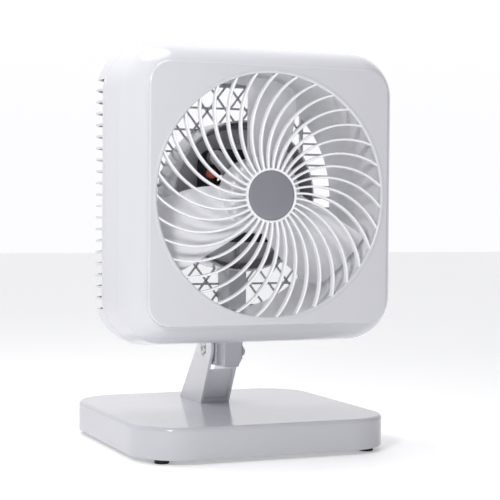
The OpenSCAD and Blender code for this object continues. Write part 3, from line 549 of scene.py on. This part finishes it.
def rib(turn, steps=30):
    """One curved rib: a thin upright blade with a round front edge."""
    cx, cy = HUB_RING_R - 1.4, -RIB_ARC
    c, s = math.cos(turn), math.sin(turn)
    reach = OPENING_R - 0.4
    low = math.radians(11)
    for k in range(400):
        a = math.radians(90 - 79 * k / 400)
        if math.hypot(cx + RIB_ARC * math.cos(a), cy + RIB_ARC * math.sin(a)) > reach:
            low = a
            break
    w = RIB_W / 2
    section = [(-w * 0.8, RIB_END), (-w, RIB_END - 0.3), (-w, 1.25), (-w * 0.87, 0.85), (-w * 0.55, 0.5),
               (0, 0.36), (w * 0.55, 0.5), (w * 0.87, 0.85), (w, 1.25), (w, RIB_END - 0.3), (w * 0.8, RIB_END)]
    rings = []
    for k in range(steps + 1):
        a = math.pi / 2 + (low - math.pi / 2) * k / steps
        ring = []
        for off, d in section:
            x, y = cx + (RIB_ARC + off) * math.cos(a), cy + (RIB_ARC + off) * math.sin(a)
            ring.append((x * c - y * s, x * s + y * c, d))
        rings.append(ring)
    return Build().loft(rings, caps=True, place=on_head)


def badge():
    r = HUB_RING_R - 2.45
    profile = [(0, 1.25), (r * 0.5, 1.3), (r - 2.6, 1.5), (r - 2.3, 1.62), (r - 2.0, 1.55), (r - 0.8, 1.75),
               (r - 0.2, 2.1), (r, 2.6), (r, 3.6), (0, 3.6)]
    return piece("plain_badge", Build().lathe(profile, 96), "badge", "head", ["hub_badge"], 50)


def duct():
    profile = [(OPENING_R, 7.5), (OPENING_R + 0.4, 7.2), (OPENING_R + 1.6, 7.2), (OPENING_R + 2, 7.6),
               (OPENING_R + 2, 60), (107.5, 103.2), (107.2, 103.5), (105.8, 103.5), (105.5, 103.2),
               (OPENING_R, 60)]
    return piece("duct_wall", Build().lathe(profile, 160), "inner", "head", ["air_duct"], 30)


def rear_section(inset, steps=12):
    """The rear half in section: (radius about the corner centre, depth), from the window to the flat rear."""
    out = [(side_r(WINDOW_FRONT) - inset, WINDOW_FRONT), (side_r(76) - inset, 76)]
    for k in range(steps + 1):
        a = math.pi / 2 * k / steps
        out.append((REAR_R - REAR_IN + (REAR_IN - inset) * math.cos(a),
                    SIDE_END + (REAR_DEEP - inset) * math.sin(a)))
    return out


def rear_band(build, sign):
    """The closed part of the rear cover above or below the bars."""
    edge = WINDOW_HALF - 1 - CY
    rings = []
    outer = rear_section(0) + [(edge, HEAD_DEPTH)]
    inner = rear_section(WALL) + [(edge, HEAD_DEPTH - WALL)]
    for r, d in outer + inner[::-1]:
        start = math.asin(min(edge / r, 1))
        ring = []
        for k in range(15):
            a = start + (math.pi / 2 - start) * k / 14
            ring.append((CX + r * math.cos(a), sign * (CY + r * math.sin(a)), d))
        ring += [(-x, y, z) for x, y, z in ring[::-1]]
        rings.append(ring)
    build.loft(rings, around=False, along=True, place=on_head)
    n = len(rings[0])
    k = len(build.v) - n * len(rings)
    build.f.append(tuple(k + n * i for i in range(len(rings))))
    build.f.append(tuple(k + n * i + n - 1 for i in range(len(rings)))[::-1])


def bar_route(y, stop):
    """Outer line of a rear bar at height y, as (x, depth, inward normal), down to x = stop."""
    lift = max(abs(y) - CY, 0)
    line = [(side_r(69.4), 69.4)] + rear_section(0)[1:]
    pts = [(CX + math.sqrt(max(r * r - lift * lift, 0)), d) for r, d in line]
    pts.append((stop, HEAD_DEPTH))
    out = []
    for k, (x, d) in enumerate(pts):
        a, b = pts[max(k - 1, 0)], pts[min(k + 1, len(pts) - 1)]
        tx, td = b[0] - a[0], b[1] - a[1]
        size = math.hypot(tx, td)
        out.append((x, d, -td / size, tx / size))
    x, d, _, _ = out[-1]
    out[-1] = (x, d, 0, -1)
    return out


def rear_bar(build, y, full):
    """One level bar with its ends wrapped round to the sides; a full one also crosses between the struts."""
    half = BAR_T / 2
    section = [(0.04, -0.55), (0, 0), (0.04, 0.55), (0.3, 0.9), (0.65, half), (1.8, half), (2.15, 0.85),
               (2.3, 0.5), (2.3, -0.5), (2.15, -0.85), (1.8, -half), (0.65, -half), (0.3, -0.9)]
    right = bar_route(y, 0 if full else STRUT_X)
    rings = [[(x + nx * u, y + v, d + nd * u) for u, v in section] for x, d, nx, nd in right]
    mirrored = [[(-x, yy, d) for x, yy, d in ring] for ring in rings]
    if full:
        build.loft(rings + mirrored[::-1][1:], caps=True, place=on_head)
    else:
        build.loft(rings, caps=True, place=on_head)
        build.loft(mirrored, caps=True, place=on_head)


def clipped(x0, lean):
    """The stretches of a slanted lattice line that lie between the struts and outside the motor ring."""
    ux, uy = -math.sin(lean), math.cos(lean)
    inside = []
    step = 0.5
    for k in range(int(-150 / step), int(150 / step)):
        t = k * step
        x, y = x0 + ux * t, uy * t
        within = abs(x) < STRUT_X and abs(y) < WINDOW_HALF - 0.5
        inside.append((t, within and math.hypot(x, y) > MOTOR_R + 0.5))
    out, start = [], None
    for t, good in inside:
        if good and start is None:
            start = t
        if not good and start is not None:
            if t - start > 2:
                out.append(((x0 + ux * start, uy * start), (x0 + ux * t, uy * t)))
            start = None
    return out


def rear_cover():
    rim_low, rim_high = PART_LINE, WINDOW_FRONT
    section = [(side_r(rim_low) - 0.5, rim_low), (side_r(rim_low) - 0.15, rim_low + 0.2),
               (side_r(rim_low + 0.7), rim_low + 0.7), (side_r(rim_high), rim_high),
               (side_r(rim_high) - WALL, rim_high), (side_r(rim_low) - WALL, rim_low)]
    build = Build().loft([rr_loop(CX, CY, r, d) for r, d in section], along=True, place=on_head)
    for sign in (-1, 1):
        rear_band(build, sign)
    obj = finish_mesh("rear_housing", build, 32)
    wells = Build()
    for sx, sy in CORNERS:
        wells.lathe([(0, 96), (4.4, 96), (4.4, 114), (0, 114)], 32, (sx * SCREW_AT[0], sy * SCREW_AT[1]))
    carve(obj, wells, 32)
    piece("rear_housing", obj, "shell", "head", ["rear_cover"])
    grille = Build()
    for k in range(1, 20):
        rear_bar(grille, -WINDOW_HALF + PITCH * k, k % 2 == 0)
    for lean in (38, -38):
        for k in range(-7, 8):
            for a, b in clipped(k * 2 * PITCH, math.radians(lean)):
                grille.loft(bar((*a, HEAD_DEPTH), (*b, HEAD_DEPTH), 0.9, -3.2, -0.6), caps=True, place=on_head)
    for x in (-STRUT_X, STRUT_X):
        ends = ((x, -WINDOW_HALF - 1.5, HEAD_DEPTH), (x, WINDOW_HALF + 1.5, HEAD_DEPTH))
        grille.loft(bar(*ends, 1.4, -5, -0.4), caps=True, place=on_head)
    shroud = [(SHROUD_IN, 62.5), (67.3, 62.1), (68, SHROUD_FRONT), (68.7, 62.1), (SHROUD_OUT, 62.5),
              (SHROUD_OUT, 109.2), (68.6, 109.6), (67.4, 109.6), (SHROUD_IN, 109.2)]
    grille.lathe(shroud, 160)
    cover = [(-COVER_HALF, 107.8), (-COVER_HALF, 79.3), (-8.2, 78.7), (-7.6, COVER_FRONT), (7.6, COVER_FRONT),
             (8.2, 78.7), (COVER_HALF, 79.3), (COVER_HALF, 107.8), (6.9, 107.8), (6.9, 80.1), (-6.9, 80.1),
             (-6.9, 107.8)]
    grille.loft([[on_head((x, y, d)) for x, d in cover] for y in (COVER_BOTTOM, COVER_TOP)], caps=True)
    grille.lathe([(107.9, 99), (110.5, 99), (110.5, 109), (107.9, 109)], 144)
    slots = []
    for k in range(12):
        turn = math.radians(15 + 30 * k)
        c, s = math.cos(turn), math.sin(turn)
        slot = arc(SLOT_RING_OUT, 0, SLOT_HALF, -90, 90, 6) + arc(SLOT_RING_IN, 0, SLOT_HALF, 90, 270, 6)
        slots.append([(x * c - y * s, x * s + y * c) for x, y in slot])
    disc = [arc(0, 0, 68, 0, 360, 128)[:-1], arc(0, 0, 24, 0, 360, 64)[:-1]] + slots
    grille.merge(slab(disc, 107.6, 109.6, 0.4, on_head))
    motor_post = [(1.65, 84), (5, 84), (5, 108.6), (0, 108.6), (0, 99), (1.65, 99)]
    for k in range(4):
        a = math.pi / 2 * k
        grille.lathe(motor_post, 32, (POST_RING_R * math.cos(a), POST_RING_R * math.sin(a)))
    corner_post = [(0, PART_LINE), (6.2, PART_LINE), (6.2, 108.6), (4.4, 108.6), (4.4, 98), (0, 98)]
    for sx, sy in CORNERS:
        grille.lathe(corner_post, 32, (sx * SCREW_AT[0], sy * SCREW_AT[1]))
    piece("rear_bars", grille, "shell", "head", ["rear_cover"], 38)


# ---- neck and switch -----------------------------------------------------------------------------

def along_y(p):
    """A point drawn in the X-Z plane with its height along Y."""
    return (p[0], p[2], p[1])


def prism(outline, low, high, place):
    """An outline pushed straight from low to high."""
    return Build().loft([[place((x, y, z)) for x, y in outline] for z in (low, high)], caps=True)


def cuboid(x, y, z):
    return prism([(x[0], y[0]), (x[1], y[0]), (x[1], y[1]), (x[0], y[1])], z[0], z[1], lambda p: p)


def neck():
    py, pz = PIVOT
    horn = [(BOX_REAR, BOX_BOTTOM), (py, BOX_BOTTOM)] + arc(py, pz, KNUCKLE_R, -90, 90, 32)[1:]
    horn += [(8.5, pz + KNUCKLE_R), (8.5, NECK_TOP), (BOX_REAR, NECK_TOP)]
    box = [(-BOX_HALF, BOX_BOTTOM), (BOX_HALF - 3.5, BOX_BOTTOM), (BOX_HALF, 78.5), (BOX_HALF, 106),
           (-BOX_HALF, 106)]
    obj = finish_mesh("neck", prism(horn, -KNUCKLE_HALF, KNUCKLE_HALF, across), 30)
    other = finish_mesh("box", prism(box, BOX_FRONT, BOX_REAR + 1, along_y), 30)
    mod = obj.modifiers.new("join", "BOOLEAN")
    mod.operation, mod.solver, mod.object = "UNION", "EXACT", other
    applied(obj, 30)
    bpy.data.objects.remove(other)
    cuts = Build()
    cuts.merge(cuboid((4, 14), (BOX_FRONT + 2.2, BOX_FRONT + 13.2), (79, 94)))
    cuts.merge(cuboid((-BOX_HALF - 1, -BOX_HALF + 0.6), (BOX_FRONT + 2, BOX_FRONT + 13.4),
                      (BOX_BOTTOM + 2.4, BOX_BOTTOM + 21.4)))
    for side in (-1, 1):
        x = sorted((side * (KNUCKLE_HALF - 2.2), side * (KNUCKLE_HALF + 3)))
        cuts.merge(cuboid(x, (2.4, 7.4), (BOX_BOTTOM + 3.4, BOX_BOTTOM + 23.4)))
    cuts.lathe([(0, -20), (BOLT_HOLE_R, -20), (BOLT_HOLE_R, 20), (0, 20)], 32,
               place=lambda p: (p[2], py + p[0], pz + p[1]))
    carve(obj, cuts, 30)
    soften(obj, 0.45, 3, 35, 50)
    return piece("neck_moulding", obj, "shell", "head", ["neck_block"])


def rocker():
    outline = [(3.5, 82.6), (7.4, 81.2), (11.6, 81.1), (12.7, 81.7), (13.3, 83.2), (13.7, 84.6), (13.5, 86.1),
               (12.2, 88.4), (11, 90.2), (10, 91.9), (9, 92.4), (3.5, 91.4)]
    build = slab([outline], BOX_FRONT + 3.8, BOX_FRONT + 11.6, 0.6, along_y)
    low, high = BOX_FRONT + 2.6, BOX_FRONT + 12.8
    build.lathe([(0, low), (1.2, low), (1.2, high), (0, high)], 24, ROCKER_PIN, along_y)
    return piece("rocker_key", build, "shell", "rocker", ["rocker"], 50)


# ---- impeller and motor --------------------------------------------------------------------------

def lead_angle(r):
    """Angle of a blade's leading edge at radius r, in degrees."""
    return 66 - 20 * (max(IMP_R - r, 0) / 70) ** 1.2


def trail_angle(r):
    """Angle of a blade's trailing edge at radius r, in degrees."""
    return 90 + math.degrees(math.asin(18 / r))


def tip_radius(v):
    """Outer radius along a blade, rounded at both corners; v runs from leading to trailing edge."""
    a = min(max(1 - v / 0.16, 0), 1)
    b = min(max((v - 0.94) / 0.06, 0), 1)
    return IMP_R - 14 * (1 - math.sqrt(1 - a * a)) - 4 * (1 - math.sqrt(1 - b * b))


def impeller():
    rnd = 4
    profile = [(0, HUB_FRONT)] + arc(HUB_R - rnd, HUB_FRONT + rnd, rnd, -90, 0, 10)
    profile += [(HUB_R, HUB_REAR - 0.4), (HUB_R - 0.4, HUB_REAR), (HUB_R - 1.8, HUB_REAR),
                (HUB_R - 2.2, HUB_REAR - 0.4),
                (HUB_R - 2.2, HUB_FRONT + 4.2), (HUB_R - 4.2, HUB_FRONT + 2.2), (0, HUB_FRONT + 2.2)]
    build = Build().lathe(profile, 96)
    build.lathe([(3, 15), (7, 15), (7, 36), (3, 36)], 40)
    for k in range(6):
        a = TAU * k / 6
        c, s = math.cos(a), math.sin(a)
        web = bar((5.5 * c, 5.5 * s, 0), ((HUB_R - 1.5) * c, (HUB_R - 1.5) * s, 0), 0.8, 15, 27, 0.2)
        build.loft(web, caps=True, place=on_head)
    nu, nv = 26, 34
    for k in range(3):
        turn = 120 * k
        sheets = []
        for up in (-1, 1):
            rows = []
            for i in range(nu + 1):
                row = []
                for j in range(nv + 1):
                    v = 0.5 - 0.5 * math.cos(math.pi * j / nv)
                    tip = tip_radius(v)
                    u = i / nu
                    r = HUB_R - 1.4 + (tip - HUB_R + 1.4) * u
                    a = math.radians(turn + lead_angle(r) + (trail_angle(r) - lead_angle(r)) * v)
                    root = max(0, 1 - (r - HUB_R) / 3.5)
                    rim = 1 if u < 0.97 else 0.75
                    thick = (0.3 + 0.7 * math.sin(math.pi * v) ** 0.5) * rim + 1.2 * root ** 2
                    z = 42 - 26.5 * v + 3.2 * math.sin(math.pi * v) + up * thick
                    row.append((r * math.cos(a), r * math.sin(a), z))
                rows.append(row)
            sheets.append(rows)
        low, high = sheets
        rings = [low[i] + high[i][::-1] for i in range(nu + 1)]
        build.loft(rings, caps=True, place=on_head)
    return piece("impeller_moulding", build, "impeller", "rotor", ["impeller"], 45)


def coils():
    """Four wound coils with rounded corners round the poles."""
    build = Build()
    for k in range(4):
        turn = math.pi / 2 * k
        c, s = math.cos(turn), math.sin(turn)
        section = [(25.9, 0.4), (26.4, 0), (31.0, 0), (31.4, 0.4)]
        section += arc(29.6, 1.0, 1.8, 0, 90, 5) + arc(27.7, 1.0, 1.8, 90, 180, 5)
        rings = []
        for x, lift in section:
            rings.append([(x, y, z) for y, z, _ in rr_loop(6.2, 10.0, 1.5 + lift * 0.85, 0, 6, 2)])

        def place(p, c=c, s=s):
            return on_head((p[0] * c - p[1] * s, p[0] * s + p[1] * c, COIL_MID + p[2]))

        build.loft(rings, along=True, place=place)
    return piece("wound_coils", build, "copper", "head", ["stator_coils"], 40)


base_cover()
feet()
arm()
pivot_bolt()
front_shell()
panel()
badge()
duct()
rear_cover()
neck()
rocker()
impeller()
coils()

CARRIED = {
    "base_plate": "plate", "base_screws": "zinc", "cord_gland": "plate", "arm_screws": "zinc", "pivot_nut": "zinc",
    "pivot_washers": "zinc", "friction_discs": "fibre", "grille_screws": "zinc", "housing_screws": "zinc",
    "neck_screws": "zinc", "switch_body": "black", "switch_terminals": "brass", "motor_leads": "lead",
    "motor_plate": "galvanised", "plate_screws": "zinc", "front_bracket": "alloy", "front_bearing": "bronze",
    "rear_bearing": "bronze", "stator_core": "sheets", "coil_bobbins": "black", "shading_rings": "ring",
    "thermal_fuse": "resin", "motor_screws": "zinc", "motor_spacers": "zinc", "motor_shaft": "ground",
    "rotor_core": "sheets", "rotor_rings": "alloy", "thrust_washers": "nylon", "impeller_nut": "nylon",
}
for node, look in CARRIED.items():
    dress(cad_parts[node], M[look])


# ---- floor, light and camera ---------------------------------------------------------------------

FLOOR_HALF, FLOOR_GLOW = 6000, 0.22


def floor():
    """A plain pale floor with an even faint glow, so that it stays white."""
    h = FLOOR_HALF
    obj = finish_mesh("floor", Build().add([(-h, -h, 0), (h, -h, 0), (h, h, 0), (-h, h, 0)], [(0, 1, 2, 3)]), 60)
    mat = surface("floor_white", (0.96, 0.96, 0.96), 0.6, vary=0.004, bump=0.02, grain=300, seed=70, specular=0.2)
    shader = links(mat)[0]["Principled BSDF"]
    shader.inputs["Emission Color"].default_value = (1, 1, 1, 1)
    shader.inputs["Emission Strength"].default_value = FLOOR_GLOW
    dress(obj, mat)


def area_light(name, place, target, size, power):
    light = bpy.data.lights.new(name, "AREA")
    light.shape, light.size, light.energy = "DISK", size, power
    obj = bpy.data.objects.new(name, light)
    bpy.context.scene.collection.objects.link(obj)
    obj.location = place
    obj.rotation_euler = (Vector(target) - Vector(place)).to_track_quat("-Z", "Y").to_euler()


WORLD_LEVEL, WORLD_TINT = 0.1, (0.98, 0.98, 1.0, 1)
WORLD_RISES = (("X", -0.2, -0.9, -0.08), ("Z", 0.0, 0.9, 0.4), ("Y", 0.0, 0.75, 0.9))      # axis, from, to, gain


def world_light():
    """A soft studio: brightest behind the object, bright overhead, dim in front and dimmer still to the left."""
    world = bpy.data.worlds.new("studio")
    bpy.context.scene.world = world
    world.use_nodes = True
    nodes, link = world.node_tree.nodes, world.node_tree.links
    back = nodes["Background"]
    coord = nodes.new("ShaderNodeTexCoord")
    split = nodes.new("ShaderNodeSeparateXYZ")
    link.new(coord.outputs["Generated"], split.inputs["Vector"])
    total = None
    for axis, low, high, gain in WORLD_RISES:
        part = nodes.new("ShaderNodeMapRange")
        part.interpolation_type = "SMOOTHSTEP"
        part.inputs["From Min"].default_value, part.inputs["From Max"].default_value = low, high
        part.inputs["To Min"].default_value, part.inputs["To Max"].default_value = 0.0, gain
        link.new(split.outputs[axis], part.inputs["Value"])
        if total is None:
            total = part.outputs["Result"]
        else:
            add = nodes.new("ShaderNodeMath")
            add.operation = "ADD"
            link.new(total, add.inputs[0])
            link.new(part.outputs["Result"], add.inputs[1])
            total = add.outputs["Value"]
    level = nodes.new("ShaderNodeMath")
    level.operation = "ADD"
    level.inputs[1].default_value = WORLD_LEVEL
    link.new(total, level.inputs[0])
    back.inputs["Color"].default_value = WORLD_TINT
    link.new(level.outputs["Value"], back.inputs["Strength"])


CAMERA_AT = (-0.50121, -1.25075, 0.21419)
LENS, SENSOR, CLIP_END = 102.95, 36, 50
YAW, PITCH, ROLL = -0.3971, 0.0254, 0.0082


def camera():
    """The camera of the photograph: left of the front, at about the height of the head's lower half."""
    data = bpy.data.cameras.new("camera")
    data.lens, data.sensor_width, data.clip_end = LENS, SENSOR, CLIP_END
    yaw, pitch, roll = YAW, PITCH, ROLL
    right = Vector((math.cos(yaw), math.sin(yaw), 0))
    ahead = Vector((-math.sin(yaw) * math.cos(pitch), math.cos(yaw) * math.cos(pitch), -math.sin(pitch)))
    up = right.cross(ahead)
    x = right * math.cos(roll) + up * math.sin(roll)
    y = up * math.cos(roll) - right * math.sin(roll)
    turn = Matrix((x, y, -ahead)).transposed()
    obj = bpy.data.objects.new("camera", data)
    obj.matrix_world = Matrix.Translation(CAMERA_AT) @ turn.to_4x4()
    bpy.context.scene.collection.objects.link(obj)
    bpy.context.scene.camera = obj


floor()
world_light()
area_light("key", (-0.68, -0.78, 0.62), (0, -0.05, 0.25), 0.2, 5.6)
area_light("top", (-0.15, 0.05, 0.92), (0, 0, 0.3), 0.5, 2.4)
camera()
bpy.context.scene.view_settings.view_transform = "Standard"
